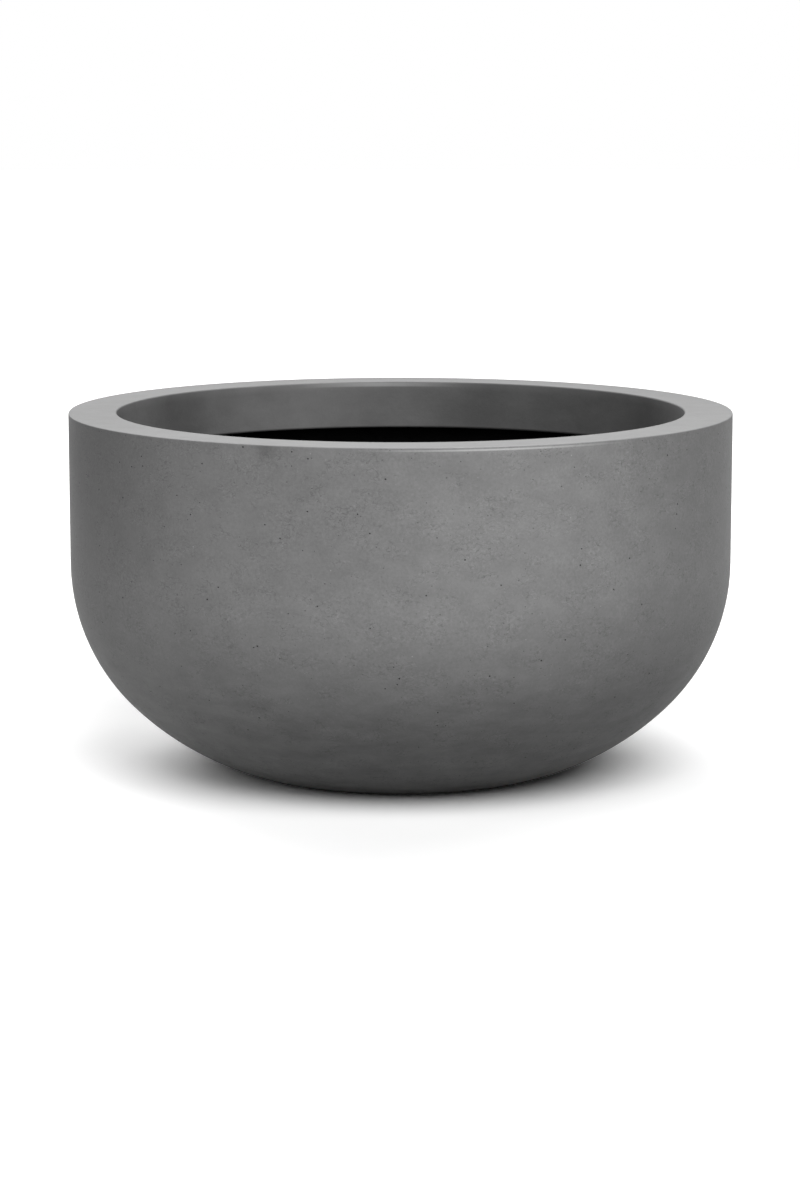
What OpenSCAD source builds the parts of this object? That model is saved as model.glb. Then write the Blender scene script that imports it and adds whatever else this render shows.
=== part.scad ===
// Round bowl planter in fibre stone, with a wide flat rim that turns down inside.
// Millimetres, +Z up. The origin is on the ground, under the middle of the bowl.

/* [Bowl] */
// Outside diameter of the wall and the rim
outer_d = 610; // [560:5:720]
// Height from the ground to the top of the rim
height = 331; // [300:1:400]
// Height of the upright part of the wall, down from the top of the rim
upright_h = 139; // [110:1:170]
// How far the wall turns through the tight upper curve, in degrees
shoulder_turn = 45; // [35:1:55]
// Slope of the wall where it meets the foot, in degrees from level
foot_slope = 18; // [12:1:24]
// Thickness of the moulded shell
wall_t = 10; // [7:0.5:13]

/* [Foot and base] */
// Outside diameter of the foot ring
foot_d = 300; // [260:5:340]
// Width of the foot ring's flat face
foot_ring_w = 28; // [26:1:50]
// Depth of the recess under the base, inside the foot ring
recess_h = 5; // [4:0.5:9]
// Rounding in the corner of the recess
recess_fillet = 3; // [1:0.5:4]
// Thickness of the base above the recess
base_t = 12; // [8:0.5:18]

/* [Rim] */
// Width of the rim's flat top, from the outside of the wall to the opening
rim_w = 44; // [38:1:60]
// Thickness of the rim's top plate
rim_t = 10; // [7:0.5:14]
// Rounding of the rim's outer top edge
rim_edge_r = 1; // [1:0.5:6]
// Rounding of the opening's top edge
mouth_edge_r = 1.5; // [1:0.5:5]
// Depth of the skirt inside the bowl, down from the top of the rim
skirt_h = 46; // [36:1:70]
// Thickness of the skirt
skirt_t = 8; // [6:0.5:11]
// Rounding of the skirt's lower edges
skirt_edge_r = 2.5; // [1:0.5:2.5]
// Fillet between the skirt and the underside of the top plate
skirt_fillet = 7; // [2:0.5:8]
// Width of the spigot that centres the rim inside the wall
spigot_w = 9; // [6:0.5:11]
// Depth of the spigot below the top plate
spigot_h = 6; // [4:0.5:9]

/* [Bonding paste] */
// Width of the joint between the spigot and the wall
bond_line = 0.8; // [0.4:0.1:1.5]
// Leg of the fillet of paste under the spigot
bond_leg = 7; // [4:0.5:8]

/* [Waterproof coat] */
// Thickness of the coat on the inside of the bowl
coat_t = 1.2; // [0.8:0.1:2.5]

/* [Drain] */
// Diameter of the drain hole through the base, before it is coated
drain_d = 30; // [24:1:40]

/* [Drain plug] */
// Gap between the coated hole and the plug's sealing ribs
plug_gap = 0.3; // [0.2:0.05:0.6]
// How far the plug's head reaches past the drain hole all round
head_reach = 6; // [4:0.5:12]
// Thickness of the head
head_t = 4; // [3:0.5:7]
// Rounding of the head's top edge
head_edge_r = 1.5; // [0.5:0.25:2.5]
// Width of the stem's sealing ribs
rib_w = 3; // [2:0.25:4]
// Height of the sealing ribs above the stem
rib_h = 0.9; // [0.4:0.1:1.4]
// Distance between the two sealing ribs
rib_pitch = 6; // [4.5:0.5:7]
// How far the stem reaches through the base
stem_reach = 2.5; // [1:0.5:3.5]
// How much narrower the stem's tip is than its root, on the radius
stem_taper = 1; // [0:0.25:2]
// Rounding of the stem's tip
stem_tip_r = 1.5; // [0.5:0.25:2]
// Wall of the hollow stem
stem_wall = 4.5; // [3:0.5:6]
// Depth of the hollow in the stem
stem_core_h = 12; // [9:0.5:14]
// Diameter of the grip on the head
grip_d = 17; // [14:0.5:24]
// Height of the grip's round top
grip_h = 8; // [6:0.5:12]
// Rounding of the grip's round top
grip_edge_r = 3; // [1:0.5:3]
// Diameter of the neck under the grip
neck_d = 10; // [8:0.5:12]
// Height of the neck
neck_h = 5; // [4:0.5:9]
// Fillet between the neck and the head
neck_fillet = 2; // [0.5:0.25:3]

/* [Foot pads] */
// Number of pads under the foot ring
pad_count = 4; // [3:1:8]
// Diameter of a pad
pad_d = 20; // [12:1:24]
// Thickness of a pad
pad_t = 3; // [2.5:0.25:6]
// Depth of the seat that each pad is stuck into
pad_seat_h = 1.5; // [0.5:0.25:2]
// Rounding of a pad's lower edge
pad_edge_r = 0.8; // [0.4:0.1:1.2]

/* [Hidden] */
$fn = 180;

// How far a cutting shape runs past the face that it opens
past = 1;
// How far one outline stands proud of the next where a wall and an arc, or two arcs, only touch
lap = 0.002;

// Levels, from the ground up
foot_z = pad_t - pad_seat_h;
recess_z = foot_z + recess_h;
floor_z = recess_z + base_t;
upright_z = height - upright_h;
plate_z = height - rim_t;
spigot_z = plate_z - spigot_h;
coat_top_z = spigot_z - bond_leg;
plug_z = floor_z + coat_t;

// Radii
wall_r = outer_d / 2;
inside_r = wall_r - wall_t;
foot_r = foot_d / 2;
recess_r = foot_r - foot_ring_w;
mouth_r = wall_r - rim_w;
spigot_r = inside_r - bond_line;
drain_r = drain_d / 2;
coated_drain_r = drain_r - coat_t;
head_r = drain_r + head_reach;
rib_r = coated_drain_r - plug_gap;
stem_r = rib_r - rib_h;
pad_ring_r = foot_r - foot_ring_w / 2;

// The wall leaves the upright by the shoulder's arc and runs on in the belly's arc to the foot.
// Both arcs are tangent where they meet, so these two sums set their radii:
//   shoulder_r * shoulder_in + belly_r * belly_in = curve_in
//   shoulder_r * shoulder_down + belly_r * belly_down = curve_down
curve_in = wall_r - foot_r;
curve_down = upright_z - foot_z;
foot_turn = 90 - foot_slope;
shoulder_in = 1 - cos(shoulder_turn);
shoulder_down = sin(shoulder_turn);
belly_in = cos(shoulder_turn) - cos(foot_turn);
belly_down = sin(foot_turn) - sin(shoulder_turn);
pair = shoulder_in * belly_down - belly_in * shoulder_down;
shoulder_r = (curve_in * belly_down - curve_down * belly_in) / pair;
belly_r = (curve_down * shoulder_in - curve_in * shoulder_down) / pair;
shoulder_c = [wall_r - shoulder_r, upright_z];
belly_c = shoulder_c + (shoulder_r - belly_r) * [cos(shoulder_turn), -sin(shoulder_turn)];

// Rectangle between two corners
module block(low, high) {
    translate(low) square(high - low);
}

// What is cut from a corner at the origin to round it, where the solid lies towards +X and +Y
module corner_cut(r) {
    difference() {
        block([-past, -past], [r, r]);
        translate([r, r]) circle(r);
    }
}

// What fills an inside corner at the origin with a fillet, where the open side is towards +X and +Y
module corner_fill(r) {
    difference() {
        block([0, 0], [r, r]);
        translate([r, r]) circle(r);
    }
}

// Disc inside one of the wall's arcs, cut off at the line where the arcs meet unless it is whole.
// side is 1 to keep what is above that line and -1 to keep what is below it.
module arc_disc(centre, r, whole, side) {
    half = r + past;
    translate(centre)
        intersection() {
            circle(r);
            if (!whole) {
                rotate(-shoulder_turn) translate([0, side * half]) square(2 * half, center = true);
            }
        }
}

// Half section of the bowl's outside, or of a surface that lies a given depth inside it,
// cut level at the bottom and the top.
// The smaller of the two discs lies inside the larger and touches it where the arcs meet, so it can
// stay whole. It stands proud there by lap, so that the two outlines cross cleanly.
module bowl_section(depth, bottom, top) {
    tight_shoulder = shoulder_r < belly_r;
    belly_lap = tight_shoulder ? 0 : 2 * lap;
    intersection() {
        union() {
            block([0, upright_z], [wall_r - depth, top]);
            block([0, bottom], [recess_r, upright_z]);
            arc_disc(shoulder_c, shoulder_r - depth + lap, tight_shoulder, 1);
            arc_disc(belly_c, belly_r - depth + belly_lap, !tight_shoulder, -1);
        }
        block([0, bottom], [outer_d, top]);
    }
}

// Half section of the recess under the base
module recess_section() {
    difference() {
        block([0, foot_z - past], [recess_r, recess_z]);
        translate([recess_r, recess_z]) rotate(180) corner_cut(recess_fillet);
    }
}

// Half section of the rim, with its skirt and its spigot
module rim_section() {
    difference() {
        union() {
            block([mouth_r, plate_z], [wall_r, height]);
            block([mouth_r, height - skirt_h], [mouth_r + skirt_t, height]);
            block([spigot_r - spigot_w, spigot_z], [spigot_r, plate_z]);
        }
        translate([wall_r, height]) rotate(180) corner_cut(rim_edge_r);
        translate([mouth_r, height]) rotate(-90) corner_cut(mouth_edge_r);
        translate([mouth_r, height - skirt_h]) corner_cut(skirt_edge_r);
        translate([mouth_r + skirt_t, height - skirt_h]) rotate(90) corner_cut(skirt_edge_r);
    }
    translate([mouth_r + skirt_t, plate_z]) rotate(-90) corner_fill(skirt_fillet);
}

// Half section of the paste: the joint beside the spigot and the fillet under it
module bond_section() {
    difference() {
        block([inside_r - bond_leg, coat_top_z], [inside_r, plate_z]);
        block([inside_r - bond_leg - past, spigot_z], [spigot_r, plate_z + past]);
        translate([inside_r - bond_leg, coat_top_z]) circle(bond_leg);
    }
}

// Half section of the coat, which turns down into the drain hole
module coat_section() {
    difference() {
        union() {
            bowl_section(wall_t, floor_z, coat_top_z);
            block([0, recess_z], [drain_r, floor_z]);
        }
        bowl_section(wall_t + coat_t, plug_z, coat_top_z + past);
        block([-past, recess_z - past], [coated_drain_r, plug_z + past]);
    }
}

// Half section of the plug, from the tip of its stem to the top of its grip
module plug_section() {
    tip_z = recess_z - stem_reach;
    tip_r = stem_r - stem_taper;
    core_r = tip_r - stem_wall;
    neck_z = plug_z + head_t;
    grip_z = neck_z + neck_h;
    difference() {
        union() {
            polygon([[0, tip_z], [tip_r, tip_z], [stem_r, plug_z], [0, plug_z]]);
            block([0, plug_z], [head_r, neck_z]);
        }
        translate([tip_r, tip_z]) rotate(90) corner_cut(stem_tip_r);
        translate([head_r, neck_z]) rotate(180) corner_cut(head_edge_r);
        block([-past, tip_z - past], [core_r, tip_z + stem_core_h - core_r]);
        translate([0, tip_z + stem_core_h - core_r]) circle(core_r);
    }
    for (i = [0, 1]) {
        rib_z = floor_z - rib_w - i * rib_pitch;
        intersection() {
            translate([rib_r - rib_w / 2, rib_z]) circle(rib_w / 2);
            block([tip_r - rib_h, rib_z - rib_w], [rib_r + past, rib_z + rib_w]);
        }
    }
    block([0, neck_z], [neck_d / 2, grip_z]);
    translate([neck_d / 2, neck_z]) corner_fill(neck_fillet);
    difference() {
        block([0, grip_z], [grip_d / 2, grip_z + grip_h]);
        translate([grip_d / 2, grip_z]) rotate(90) corner_cut(grip_edge_r);
        translate([grip_d / 2, grip_z + grip_h]) rotate(180) corner_cut(grip_edge_r);
    }
}

// Places a child on the foot ring for each pad
module at_each_pad() {
    for (i = [0 : pad_count - 1]) {
        rotate((i + 0.5) * 360 / pad_count) translate([pad_ring_r, 0, 0]) children();
    }
}

// Moulded bowl: wall, curves, foot ring, recessed base, drain hole and pad seats
module bowl_shell() {
    color("dimgray")
        difference() {
            rotate_extrude()
                difference() {
                    bowl_section(0, foot_z, plate_z);
                    bowl_section(wall_t, floor_z, plate_z + past);
                    recess_section();
                    block([-past, foot_z], [drain_r, floor_z + past]);
                }
            at_each_pad() translate([0, 0, foot_z - past]) cylinder(h = pad_seat_h + past, d = pad_d);
        }
}

// Rim: flat top plate and inner skirt, centred in the wall by its spigot
module rim_ring() {
    color("darkgray") rotate_extrude() rim_section();
}

// Bead of bonding paste between the rim's spigot and the wall
module rim_bond() {
    color("gray") rotate_extrude() bond_section();
}

// Black waterproof coat on the inside of the bowl and the drain hole
module inner_coating() {
    color("black") rotate_extrude() coat_section();
}

// Rubber plug that rests on its head over the drain hole
module drain_plug() {
    color("darkslategray") rotate_extrude() plug_section();
}

// Round pads stuck into seats in the foot ring
module foot_pads() {
    color("black")
        at_each_pad()
            rotate_extrude()
                difference() {
                    square([pad_d / 2, pad_t]);
                    translate([pad_d / 2, 0]) rotate(90) corner_cut(pad_edge_r);
                }
}

bowl_shell();
rim_ring();
rim_bond();
inner_coating();
drain_plug();
foot_pads();
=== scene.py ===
from math import cos, pi, radians, sin

import bpy
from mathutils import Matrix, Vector


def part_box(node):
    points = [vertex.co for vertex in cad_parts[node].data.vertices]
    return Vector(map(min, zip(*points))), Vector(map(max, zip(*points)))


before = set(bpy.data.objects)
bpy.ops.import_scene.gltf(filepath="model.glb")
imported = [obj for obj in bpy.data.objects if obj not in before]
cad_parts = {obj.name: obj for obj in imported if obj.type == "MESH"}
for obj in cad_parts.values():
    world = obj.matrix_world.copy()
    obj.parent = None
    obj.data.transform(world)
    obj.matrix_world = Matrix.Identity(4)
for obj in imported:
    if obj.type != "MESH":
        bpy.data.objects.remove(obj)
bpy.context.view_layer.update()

MM = 0.001

# Camera, fitted to the outline in the photograph
CAMERA_PLACE = (0.0, -3.1305, 0.6641)
CAMERA_PITCH = radians(-9.272)
CAMERA_YAW = radians(0.01)
LENS_MM = 102.28

# Sizes of the planter. The frame's boxes give all but the width of the rim's flat top.
RIM_LOW, RIM_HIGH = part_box("rim_ring")
SHELL_LOW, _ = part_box("bowl_shell")
TOP_Z = RIM_HIGH.z
SKIRT_END_Z = RIM_LOW.z
FOOT_Z = SHELL_LOW.z
OUTER_R = RIM_HIGH.x
RIM_WIDTH = 44 * MM
MOUTH_R = OUTER_R - RIM_WIDTH


class Graph:
    """A material's node tree, with short ways to add to it. A value is a number, a vector or a socket."""

    def __init__(self, name):
        self.material = bpy.data.materials.new(name)
        self.material.use_nodes = True
        self.tree = self.material.node_tree
        self.tree.nodes.clear()

    def put(self, socket, value):
        if isinstance(value, bpy.types.NodeSocket):
            self.tree.links.new(value, socket)
        else:
            socket.default_value = value

    def add(self, kind, inputs=None, **settings):
        """A node of that kind. Its inputs go by name or number, or in order where they are a list."""
        node = self.tree.nodes.new("ShaderNode" + kind)
        for name, value in settings.items():
            setattr(node, name, value)
        pairs = inputs.items() if isinstance(inputs, dict) else enumerate(inputs or [])
        for key, value in pairs:
            self.put(node.inputs[key], value)
        return node

    def math(self, operation, *values):
        return self.add("Math", values, operation=operation).outputs[0]

    def product(self, first, *others):
        result = first
        for value in others:
            result = self.math("MULTIPLY", result, value)
        return result

    def total(self, first, *others):
        result = first
        for value in others:
            result = self.math("ADD", result, value)
        return result

    def around(self, noise, amount):
        """A noise from 0 to 1 as a change of that amount about nothing."""
        return self.product(self.math("SUBTRACT", noise, 0.5), amount)

    def factor(self, mask, change):
        """A factor that is 1 where the mask is 0, and 1 plus the change where it is 1."""
        return self.math("MULTIPLY_ADD", mask, change, 1.0)

    def mix(self, mask, outside, inside):
        """One number where the mask is 0 and the other where it is 1."""
        return self.add("Mix", {0: mask, 2: outside, 3: inside}, data_type="FLOAT").outputs[0]

    def span(self, value, low, high, to_low=0.0, to_high=1.0):
        """Smooth step of a value from low to high, mapped to to_low and to_high."""
        inputs = {
            "Value": value,
            "From Min": low,
            "From Max": high,
            "To Min": to_low,
            "To Max": to_high,
        }
        return self.add("MapRange", inputs, interpolation_type="SMOOTHSTEP").outputs["Result"]

    def place(self):
        """The point in metres, in the planter's own frame."""
        return self.add("TexCoord").outputs["Object"]

    def parts_of(self, vector):
        node = self.add("SeparateXYZ", {"Vector": vector})
        return node.outputs[0], node.outputs[1], node.outputs[2]

    def radius(self, vector):
        """Distance from the planter's axis."""
        x, y, _ = self.parts_of(vector)
        return self.math("SQRT", self.math("MULTIPLY_ADD", x, x, self.product(y, y)))

    def flatten(self, vector, share):
        """The place, scaled along the height. A noise at it comes out that many times flatter."""
        return self.add("VectorMath", [vector, (1.0, 1.0, share)], operation="MULTIPLY").outputs[0]

    def shift(self, vector, offset):
        """Another part of the noise, so that two patterns of one size differ."""
        return self.add("VectorMath", [vector, (offset, offset, offset)], operation="ADD").outputs[0]

    def noise(self, vector, size, detail=2.0, roughness=0.5, offset=0.0):
        """Soft noise from 0 to 1, with marks of about that size in metres."""
        inputs = {
            "Vector": self.shift(vector, offset),
            "Scale": 1 / size,
            "Detail": detail,
            "Roughness": roughness,
        }
        return self.add("TexNoise", inputs).outputs["Fac"]

    def dots(self, vector, spacing, radius, offset=0.0):
        """1 inside small round spots, each of its own size up to the radius, about a spacing apart."""
        cell = self.add("TexVoronoi", {"Vector": self.shift(vector, offset), "Scale": 1 / spacing})
        own = self.add("SeparateColor", {"Color": cell.outputs["Color"]}).outputs[0]
        largest = radius / spacing
        reach = self.math("MULTIPLY_ADD", own, 0.5 * largest, 0.5 * largest)
        inside = self.math("SUBTRACT", reach, cell.outputs["Distance"])
        return self.span(inside, 0.0, 0.35 * largest)

    def threads(self, vector, size, width, offset=0.0):
        """1 along thin wandering lines, where a noise passes its middle value."""
        value = self.noise(vector, size, detail=1.0, offset=offset)
        away = self.math("ABSOLUTE", self.math("SUBTRACT", value, 0.5))
        return self.span(away, 0.0, width, 1.0, 0.0)

    def blotch(self, vector, middle, reach):
        """1 at the middle of a soft round blotch, fading to 0 at the reach."""
        away = self.add("VectorMath", [vector, middle], operation="DISTANCE").outputs["Value"]
        return self.span(away, 0.0, reach, 1.0, 0.0)

    def blots(self, vector, *marks):
        """The factor of several blotches, each given as its middle, its reach and the change there."""
        return self.product(
            *(self.factor(self.blotch(vector, middle, reach), change) for middle, reach, change in marks)
        )

    def grey(self, value, tint=(1.0, 1.0, 1.0)):
        """A colour of that reflectance, times a tint."""
        return self.add("VectorMath", {0: tint, "Scale": value}, operation="SCALE").outputs[0]

    def finish(self, colour, roughness, height_mm, specular):
        """A Principled surface with a bump whose height is in millimetres."""
        bump = self.add("Bump", {"Height": height_mm, "Distance": MM, "Strength": 1.0})
        inputs = {
            "Base Color": colour,
            "Roughness": roughness,
            "Normal": bump.outputs[0],
            "Specular IOR Level": specular,
        }
        surface = self.add("BsdfPrincipled", inputs)
        self.add("OutputMaterial", {"Surface": surface.outputs[0]})
        return self.material


# Middles of soft blotches on the wall. The one at the left is painted shade, and those on the belly, the
# face and the front are painted light.
LEFT_SHADE = (-0.295, -0.08, 0.33)
BELLY_LIGHT = (-0.19, -0.15, 0.07)
FACE_LIGHT = (0.135, -0.273, 0.27)
FRONT_LIGHT = (-0.04, -0.27, 0.14)

# Middle of a small dark scuff, just under the rim's edge at the front left
EDGE_SCUFF = (-0.112, -0.283, TOP_Z - 4 * MM)

# Middles of the marks on the skirt, from the left round the back to the right. At the left end and the
# back left they are painted light, at the back right and the right end painted shade, and the other two
# are smudges in the stone.
LEFT_END_LIGHT = (-0.25, 0.07, 0.3)
LEFT_SMUDGE = (-0.21, 0.155, 0.3)
BACK_SKIRT_LIGHT = (-0.12, 0.23, 0.3)
MIDDLE_SMUDGE = (0.075, 0.25, 0.3)
BACK_SKIRT_SHADE = (0.15, 0.21, 0.3)
RIGHT_END_SHADE = (0.235, 0.115, 0.3)

# Middles of the length of the rim's front edge that is worn to a slight shine and has a painted
# highlight, and of the opening's back edge with its painted highlight
RUBBED_AND_HIGHLIT_EDGE = (0.085, -0.293, TOP_Z)
LIP_HIGHLIGHT = (-0.018, 0.26, TOP_Z)

# The stone's reflectance on the wall, and the shares of it on the skirt, the rim's top and the underside
STONE_GREY = 0.205
SKIRT_SHARE = 0.62
# The top's share over 1 is partly painted light on its upward face.
TOP_SHARE = 1.2
UNDERSIDE_SHARE = 1.12

# What the rim's top keeps of its tone at the back, where the photograph shows it darker. The darkening is
# painted shade.
TOP_BACK_SHARE = 0.82

# What each kind of mark adds to the stone's tone, which is 1 without them
CLOUD_CHANGE = 0.16
PATCH_CHANGE = 0.42
GRAIN_CHANGE = 0.46
STREAK_CHANGE = 0.78
SMEAR_CHANGE = 0.4
DARK_MARK_CHANGE = -0.2
PALE_MARK_CHANGE = 0.16
COARSE_GRAIN_CHANGE = 0.09
SPECK_CHANGE = 0.5
# The edge and lip lines are painted highlights, and the edge and lip fades are painted light
EDGE_LINE_CHANGE = 1.1
EDGE_FADE_CHANGE = 0.15
LIP_LINE_CHANGE = 1.2
LIP_FADE_CHANGE = 0.25

# What the tone changes by inside a pit, as a share of it
PIT_CHANGE = -0.85
FINE_PIT_CHANGE = -0.5

# How much of the grain is left low on the wall and on the smoothed top and skirt, and how much of the
# streaks is left higher up
LOW_GRAIN_SHARE = 0.35
SMOOTH_GRAIN_SHARE = 0.3
HIGH_STREAK_SHARE = 0.1

# Relief of the stone in millimetres
PIT_MM = -0.5
FINE_PIT_MM = -0.3
GRAIN_MM = 0.09
PATCH_MM = 0.4
DARK_MARK_MM = -0.05

# How dull the stone is, and its rubbed edge
STONE_ROUGHNESS = 0.7
PATCH_ROUGHNESS = 0.2
RUBBED_ROUGHNESS = 0.5


def under_top(millimetres):
    """The height of a point that far under the rim's top."""
    return TOP_Z - millimetres * MM


def stone_areas(g, place):
    """Masks of the rim's top, its skirt, the underside and the low part of the wall."""
    height = g.parts_of(place)[2]
    top = g.span(height, under_top(0.9), under_top(0.2))
    skirt = g.product(
        g.span(g.radius(place), MOUTH_R + 2 * MM, MOUTH_R + 0.5 * MM),
        g.span(height, SKIRT_END_Z - MM, SKIRT_END_Z),
    )
    underside = g.span(height, FOOT_Z + 9 * MM, FOOT_Z + 6 * MM)
    low = g.span(height, 170 * MM, 70 * MM)
    return top, skirt, underside, low


def edge_shine_and_highlights(g, place, skirt):
    """A mask of the rim's front edge that is worn to a slight shine, and the painted highlights and light
    that the rim's edges add to the tone.
    """
    height = g.parts_of(place)[2]
    rubbed_and_highlit = g.product(
        g.blotch(place, RUBBED_AND_HIGHLIT_EDGE, reach=0.14),
        g.span(g.radius(place), OUTER_R - 3 * MM, OUTER_R - 1.5 * MM),
    )
    # Painted highlight along the front edge's rounding, and painted light fading down under it
    edge_line = g.product(
        rubbed_and_highlit,
        g.span(height, under_top(3.6), under_top(2.6)),
        g.span(height, under_top(1.2), under_top(2)),
    )
    edge_fade = g.product(rubbed_and_highlit, g.span(height, under_top(8), under_top(2)))
    # Painted highlight on the opening's back edge, and painted light fading down the skirt's top
    lip_line = g.product(
        skirt,
        g.blotch(place, LIP_HIGHLIGHT, reach=0.1),
        g.span(height, under_top(5.5), under_top(3.5)),
        g.span(height, under_top(0.5), under_top(1.5)),
    )
    lip_fade = g.product(skirt, g.span(height, under_top(10), under_top(1)))
    painted_highlights = g.total(
        g.product(edge_line, EDGE_LINE_CHANGE),
        g.product(edge_fade, EDGE_FADE_CHANGE),
        g.product(lip_line, LIP_LINE_CHANGE),
        g.product(lip_fade, LIP_FADE_CHANGE),
    )
    return rubbed_and_highlit, painted_highlights


def placed_tone(g, place, top, skirt, underside):
    """The tone of each area of the stone, with its painted light and shade, its scuff and its smudges."""
    # Painted shade at the upper left, painted light low on the left, on the front right and on the front,
    # and a dark scuff in the stone
    wall_tone = g.blots(
        place,
        (LEFT_SHADE, 0.25, -0.5),
        (BELLY_LIGHT, 0.17, 0.27),
        (FACE_LIGHT, 0.23, 0.35),
        (FRONT_LIGHT, 0.18, 0.1),
        (EDGE_SCUFF, 0.016, -0.25),
    )
    # Painted light at the left end and the back left, painted shade at the back right and the right end,
    # and two smudges in the stone
    skirt_tone = g.blots(
        place,
        (LEFT_END_LIGHT, 0.08, 0.5),
        (LEFT_SMUDGE, 0.05, -0.2),
        (BACK_SKIRT_LIGHT, 0.15, 0.36),
        (MIDDLE_SMUDGE, 0.06, -0.3),
        (BACK_SKIRT_SHADE, 0.17, -0.28),
        (RIGHT_END_SHADE, 0.1, -0.32),
    )
    # Painted shade on the rim's top, at the left and towards the back
    to_the_back = g.span(g.parts_of(place)[1], -0.25, 0.3, 1.0, TOP_BACK_SHARE)
    top_tone = g.product(g.blots(place, (LEFT_SHADE, 0.24, -0.15)), to_the_back)
    return g.product(
        g.mix(skirt, g.mix(top, wall_tone, top_tone), skirt_tone),
        g.mix(skirt, 1.0, SKIRT_SHARE),
        g.mix(top, 1.0, TOP_SHARE),
        g.mix(underside, 1.0, UNDERSIDE_SHARE),
    )


def fibre_stone():
    """Matte grey fibre stone. The wall is cloudy and pitted, with fine marks and, low down, level
    streaks. The top is smoothed and lighter, partly as painted light, the skirt is brushed and darker,
    and the underside is raw. Painted light and shade lie in soft blotches on the wall, the top and the
    skirt. A length of the rim's front edge is worn to a slight shine and has a painted highlight, and
    the opening's back edge has a painted highlight too."""
    g = Graph("fibre_stone")
    place = g.place()
    top, skirt, underside, low = stone_areas(g, place)
    rubbed_and_highlit, painted_highlights = edge_shine_and_highlights(g, place, skirt)
    smoothed = g.math("MAXIMUM", top, skirt)
    wall = g.math("SUBTRACT", 1.0, smoothed)

    flattened = g.flatten(place, 1.5)
    cloud = g.noise(flattened, 160 * MM, detail=3.0, roughness=0.55)
    patch = g.noise(flattened, 28 * MM, detail=4.0, roughness=0.6, offset=3.0)
    grain = g.noise(place, 2.6 * MM, roughness=0.75)
    streak = g.noise(g.flatten(place, 3.5), 48 * MM, detail=4.0, roughness=0.6, offset=7.0)
    smear = g.noise(g.flatten(place, 0.6), 55 * MM, detail=3.0, offset=13.0)
    rough_areas = g.span(g.noise(flattened, 75 * MM, offset=21.0), 0.35, 0.65, 0.55, 1.15)
    worked_areas = g.span(g.noise(flattened, 26 * MM, offset=11.0), 0.42, 0.6)

    dark_marks = g.product(g.threads(flattened, 7 * MM, width=0.035, offset=2.0), worked_areas, wall)
    pale_marks = g.product(g.threads(flattened, 6 * MM, width=0.03, offset=5.0), worked_areas, wall)
    pits = g.product(g.dots(place, spacing=11 * MM, radius=0.95 * MM), wall)
    fine_pits = g.product(g.dots(place, spacing=6 * MM, radius=0.65 * MM, offset=5.0), wall)
    coarse_grains = g.product(g.dots(place, spacing=6.5 * MM, radius=1.2 * MM, offset=17.0), wall)
    specks = g.product(g.dots(place, spacing=17 * MM, radius=0.8 * MM, offset=9.0), wall)

    grain_share = g.mix(smoothed, g.mix(low, rough_areas, LOW_GRAIN_SHARE), SMOOTH_GRAIN_SHARE)
    streak_share = g.mix(low, HIGH_STREAK_SHARE, 1.0)
    shade = g.total(
        1.0,
        g.around(cloud, CLOUD_CHANGE),
        g.around(patch, PATCH_CHANGE),
        g.product(g.around(grain, GRAIN_CHANGE), grain_share),
        g.product(g.around(streak, STREAK_CHANGE), streak_share),
        g.product(g.around(smear, SMEAR_CHANGE), skirt),
        g.product(dark_marks, DARK_MARK_CHANGE),
        g.product(pale_marks, PALE_MARK_CHANGE),
        g.product(coarse_grains, COARSE_GRAIN_CHANGE),
        g.product(specks, SPECK_CHANGE),
        painted_highlights,
    )
    holes = g.product(g.factor(pits, PIT_CHANGE), g.factor(fine_pits, FINE_PIT_CHANGE))
    tone = placed_tone(g, place, top, skirt, underside)
    colour = g.grey(g.product(shade, holes, tone, STONE_GREY))
    dullness = g.total(STONE_ROUGHNESS, g.around(patch, PATCH_ROUGHNESS))
    roughness = g.mix(rubbed_and_highlit, dullness, RUBBED_ROUGHNESS)
    height_mm = g.total(
        g.product(pits, PIT_MM),
        g.product(fine_pits, FINE_PIT_MM),
        g.product(grain, GRAIN_MM),
        g.product(patch, PATCH_MM),
        g.product(dark_marks, DARK_MARK_MM),
    )
    return g.finish(colour, roughness, height_mm, specular=0.2)


# The paste's reflectance and tint, and what its ridges and bubbles do to its tone and relief
PASTE_GREY = 0.2
PASTE_TINT = (1.0, 0.995, 0.97)
PASTE_ROUGHNESS = 0.7
RIDGE_CHANGE = 0.35
BUBBLE_CHANGE = -0.5
RIDGE_MM = 0.6
BUBBLE_MM = -0.5


def bonding_paste():
    """Grey paste, smoothed with a finger: slight ridges round the bowl and trapped bubbles."""
    g = Graph("bonding_paste")
    place = g.place()
    ridges = g.noise(g.flatten(place, 6.0), 30 * MM, detail=3.0)
    bubbles = g.dots(place, spacing=6 * MM, radius=0.7 * MM)
    shade = g.total(1.0, g.around(ridges, RIDGE_CHANGE))
    colour = g.grey(g.product(shade, g.factor(bubbles, BUBBLE_CHANGE), PASTE_GREY), PASTE_TINT)
    height_mm = g.total(g.product(ridges, RIDGE_MM), g.product(bubbles, BUBBLE_MM))
    return g.finish(colour, PASTE_ROUGHNESS, height_mm, specular=0.3)


# The coat's reflectance, roughness and relief, and what the brush, lumps and dust add to them
COAT_GREY = 0.003
BRUSH_GREY = 0.004
DUST_GREY = 0.003
COAT_ROUGHNESS = 0.6
LUMP_ROUGHNESS = 0.15
DUST_ROUGHNESS = 0.2
BRUSH_MM = 0.5
LUMP_MM = 0.5

# How many times finer the brush strokes are across than along
STROKE_FINENESS = 14.0


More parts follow.
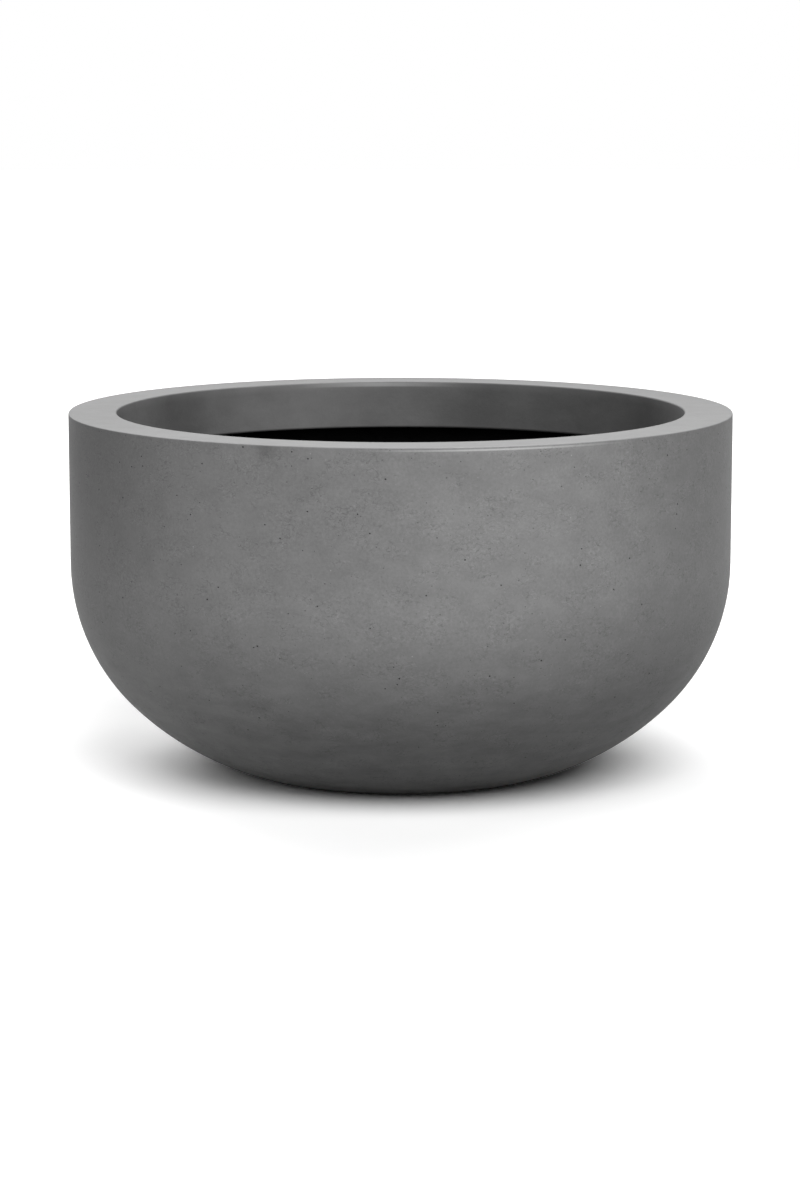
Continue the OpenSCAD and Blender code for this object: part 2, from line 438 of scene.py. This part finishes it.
def black_coat():
    """Brushed black waterproof coat: brush ridges round the wall and the base, lumps and dull patches."""
    g = Graph("black_coat")
    place = g.place()
    x, y, z = g.parts_of(place)
    across_strokes = g.product(g.total(z, g.radius(place)), STROKE_FINENESS)
    strokes = g.add("CombineXYZ", [x, y, across_strokes]).outputs[0]
    brush = g.noise(strokes, 70 * MM, detail=5.0, roughness=0.65)
    lumps = g.noise(place, 14 * MM, detail=3.0)
    dust = g.span(g.noise(place, 60 * MM, detail=5.0, roughness=0.7, offset=4.0), 0.52, 0.72)
    colour = g.grey(g.total(COAT_GREY, g.product(brush, BRUSH_GREY), g.product(dust, DUST_GREY)))
    roughness = g.total(
        COAT_ROUGHNESS,
        g.product(lumps, LUMP_ROUGHNESS),
        g.product(dust, DUST_ROUGHNESS),
    )
    height_mm = g.total(g.product(brush, BRUSH_MM), g.product(lumps, LUMP_MM))
    return g.finish(colour, roughness, height_mm, specular=0.1)


# The rubber's reflectance in the plug and the pads, its roughness, and what its grain and dust add
PLUG_GREY = 0.03
PAD_GREY = 0.025
RUBBER_ROUGHNESS = 0.55
RUBBER_GRAIN_CHANGE = 0.4
RUBBER_GRAIN_MM = 0.06
RUBBER_DUST_CHANGE = 0.5


def rubber(name, reflectance, grain_size):
    """Moulded black rubber with a fine spark-eroded grain and a little dust."""
    g = Graph(name)
    place = g.place()
    grain = g.noise(place, grain_size, roughness=0.6)
    dust = g.span(g.noise(place, 9 * MM, detail=4.0, offset=6.0), 0.5, 0.75)
    shade = g.total(1.0, g.around(grain, RUBBER_GRAIN_CHANGE), g.product(dust, RUBBER_DUST_CHANGE))
    colour = g.grey(g.product(shade, reflectance))
    roughness = g.total(RUBBER_ROUGHNESS, g.product(dust, DUST_ROUGHNESS))
    return g.finish(colour, roughness, g.product(grain, RUBBER_GRAIN_MM), specular=0.4)


def dress(material, *nodes):
    for name in nodes:
        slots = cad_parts[name].data.materials
        slots.clear()
        slots.append(material)


def make_camera():
    data = bpy.data.cameras.new("camera")
    data.lens = LENS_MM
    camera = bpy.data.objects.new("camera", data)
    bpy.context.scene.collection.objects.link(camera)
    camera.location = CAMERA_PLACE
    camera.rotation_euler = (radians(90) + CAMERA_PITCH, 0.0, CAMERA_YAW)
    bpy.context.scene.camera = camera


# The floor's reflectance to the camera, which is over 1 so that the lit floor comes out white, and to
# the planter
FLOOR_SEEN = 1.15
FLOOR_BOUNCE = 0.22
FLOOR_HALF = 15.0

# The brightness of the surroundings to the camera and to the planter
ROOM_SEEN = 1.0
ROOM_LEVEL = 0.02

LAMP_WIDTH = radians(45)


def make_sun(name, azimuth, elevation, strength):
    """A soft lamp far away. Azimuth 0 is behind the camera and 90 is on the right. The strength is the
    brightness of a white surface that faces the lamp."""
    data = bpy.data.lights.new(name, "SUN")
    data.angle = LAMP_WIDTH
    data.energy = strength * pi
    lamp = bpy.data.objects.new(name, data)
    bpy.context.scene.collection.objects.link(lamp)
    turn, rise = radians(azimuth), radians(elevation)
    towards = Vector((sin(turn) * cos(rise), -cos(turn) * cos(rise), sin(rise)))
    lamp.rotation_mode = "QUATERNION"
    lamp.rotation_quaternion = towards.to_track_quat("Z", "Y")


def plain_for_camera(tree, output, seen, unseen):
    """Joins to the output what the camera and reflections see, or else what lights the object."""
    rays = tree.nodes.new("ShaderNodeLightPath")
    mix = tree.nodes.new("ShaderNodeMixShader")
    direct = tree.nodes.new("ShaderNodeMath")
    mirrored = tree.nodes.new("ShaderNodeMath")
    direct.operation = mirrored.operation = "MAXIMUM"
    tree.links.new(rays.outputs["Is Camera Ray"], direct.inputs[0])
    tree.links.new(rays.outputs["Is Glossy Ray"], direct.inputs[1])
    tree.links.new(direct.outputs[0], mirrored.inputs[0])
    tree.links.new(rays.outputs["Is Transmission Ray"], mirrored.inputs[1])
    tree.links.new(mirrored.outputs[0], mix.inputs[0])
    tree.links.new(unseen, mix.inputs[1])
    tree.links.new(seen, mix.inputs[2])
    tree.links.new(mix.outputs[0], output)


def white_glow(tree, strength):
    node = tree.nodes.new("ShaderNodeBackground")
    node.inputs["Color"].default_value = (1, 1, 1, 1)
    node.inputs["Strength"].default_value = strength
    return node.outputs[0]


def matt_surface(tree, reflectance):
    node = tree.nodes.new("ShaderNodeBsdfDiffuse")
    node.inputs["Color"].default_value = (reflectance, reflectance, reflectance, 1)
    return node.outputs[0]


def make_room():
    """White surroundings that light the object at a plain level."""
    world = bpy.data.worlds.new("room")
    bpy.context.scene.world = world
    world.use_nodes = True
    tree = world.node_tree
    tree.nodes.clear()
    output = tree.nodes.new("ShaderNodeOutputWorld").inputs["Surface"]
    plain_for_camera(tree, output, white_glow(tree, ROOM_SEEN), white_glow(tree, ROOM_LEVEL))


def make_floor():
    """Pale floor that keeps the planter's shadow."""
    mesh = bpy.data.meshes.new("floor")
    corners = [(x * FLOOR_HALF, y * FLOOR_HALF, 0) for x, y in ((-1, -1), (1, -1), (1, 1), (-1, 1))]
    mesh.from_pydata(corners, [], [(0, 1, 2, 3)])
    floor = bpy.data.objects.new("floor", mesh)
    bpy.context.scene.collection.objects.link(floor)
    material = bpy.data.materials.new("floor")
    material.use_nodes = True
    tree = material.node_tree
    tree.nodes.clear()
    output = tree.nodes.new("ShaderNodeOutputMaterial").inputs["Surface"]
    plain_for_camera(tree, output, matt_surface(tree, FLOOR_SEEN), matt_surface(tree, FLOOR_BOUNCE))
    mesh.materials.append(material)


def make_studio():
    make_room()
    make_floor()
    make_sun("front_right", azimuth=20, elevation=46, strength=0.72)
    make_sun("front_left", azimuth=-45, elevation=38, strength=0.33)
    make_sun("low_right", azimuth=20, elevation=28, strength=0.1)
    make_sun("back_left", azimuth=-160, elevation=38, strength=0.46)
    make_sun("side_left", azimuth=-140, elevation=38, strength=0.1)
    make_sun("back_right", azimuth=145, elevation=38, strength=0.3)


make_camera()
make_studio()
dress(fibre_stone(), "bowl_shell", "rim_ring")
dress(bonding_paste(), "rim_bond")
dress(black_coat(), "inner_coating")
dress(rubber("plug_rubber", PLUG_GREY, grain_size=0.5 * MM), "drain_plug")
dress(rubber("pad_rubber", PAD_GREY, grain_size=0.8 * MM), "foot_pads")

bpy.context.scene.view_settings.view_transform = "Standard"
